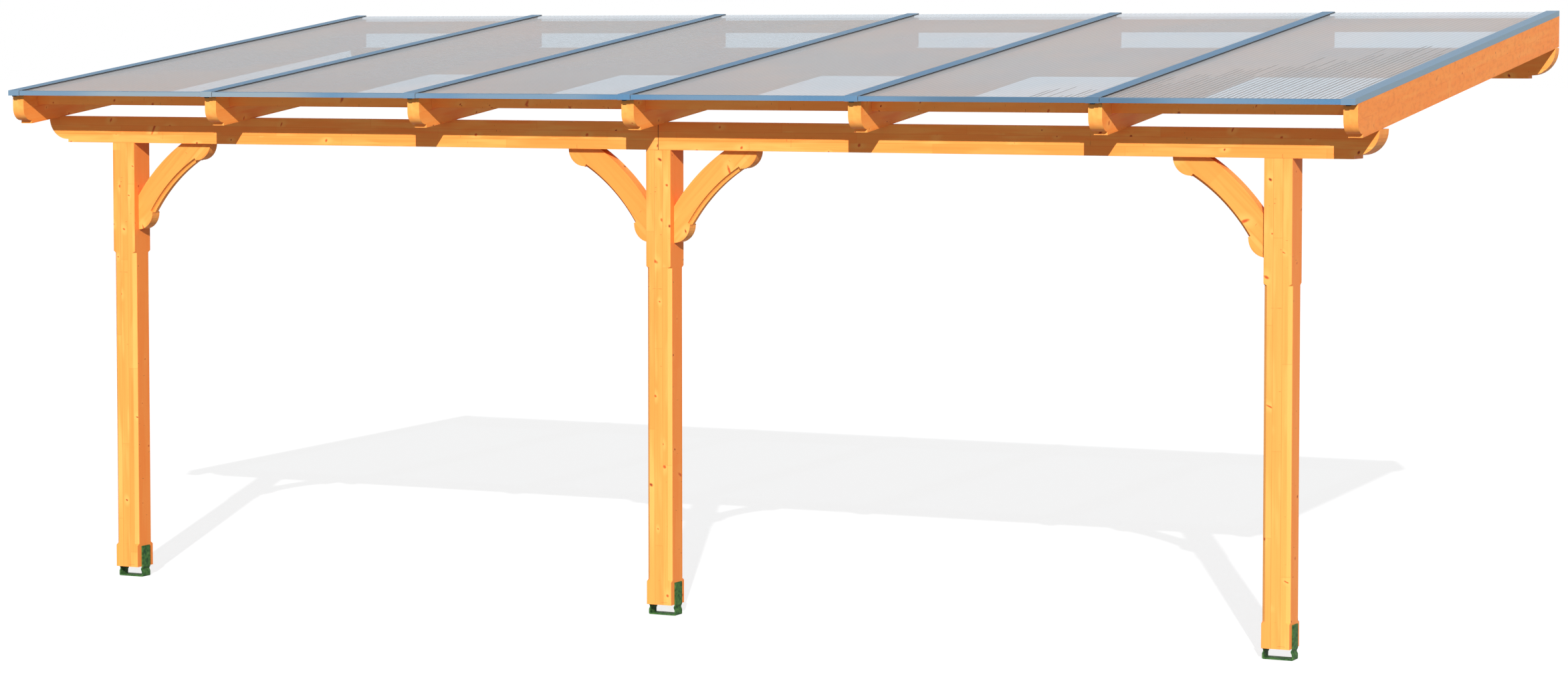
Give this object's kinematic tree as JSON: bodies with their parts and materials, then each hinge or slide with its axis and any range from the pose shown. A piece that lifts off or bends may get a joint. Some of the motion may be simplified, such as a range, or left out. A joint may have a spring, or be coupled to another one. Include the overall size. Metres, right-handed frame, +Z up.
{
  "type": "attached patio cover",
  "caption": "Lean-to timber patio cover for a house wall: posts with curved knee braces carry a front beam, sloping rafters and a translucent sheet roof.",
  "frame": {"origin": "middle of the wall ledger's flat back face, on the wall plane", "axes": "+X along the front to the right, +Y into the wall, +Z up"},
  "size_m": [6.48, 2.98, 2.6401],
  "materials": {
    "timber": "honey-coloured glazed spruce, satin",
    "cover_metal": "steel-blue coated aluminium, satin",
    "roof_sheet": "translucent pale multiwall sheet, smooth skin over fine ribs",
    "anchor_steel": "mottled dark green steel"
  },
  "bodies": {
    "root": {"brace_left": "timber", "brace_middle_left": "timber", "brace_middle_right": "timber", "brace_right": "timber", "cover_strip_1": "cover_metal", "cover_strip_2": "cover_metal", "cover_strip_3": "cover_metal", "cover_strip_4": "cover_metal", "cover_strip_5": "cover_metal", "cover_strip_6": "cover_metal", "cover_strip_7": "cover_metal", "eaves_trim_1": "cover_metal", "eaves_trim_2": "cover_metal", "eaves_trim_3": "cover_metal", "eaves_trim_4": "cover_metal", "eaves_trim_5": "cover_metal", "eaves_trim_6": "cover_metal", "front_beam_left": "timber", "front_beam_right": "timber", "front_blocking_1": "timber", "front_blocking_2": "timber", "front_blocking_3": "timber", "front_blocking_4": "timber", "front_blocking_5": "timber", "front_blocking_6": "timber", "post_anchor_left": "anchor_steel", "post_anchor_middle": "anchor_steel", "post_anchor_right": "anchor_steel", "post_left": "timber", "post_middle": "timber", "post_right": "timber", "rafter_1": "timber", "rafter_2": "timber", "rafter_3": "timber", "rafter_4": "timber", "rafter_5": "timber", "rafter_6": "timber", "rafter_7": "timber", "rear_blocking_1": "timber", "rear_blocking_2": "timber", "rear_blocking_3": "timber", "rear_blocking_4": "timber", "rear_blocking_5": "timber", "rear_blocking_6": "timber", "roof_panel_1": "roof_sheet", "roof_panel_2": "roof_sheet", "roof_panel_3": "roof_sheet", "roof_panel_4": "roof_sheet", "roof_panel_5": "roof_sheet", "roof_panel_6": "roof_sheet", "wall_ledger": "timber"}
  },
  "joints": []
}
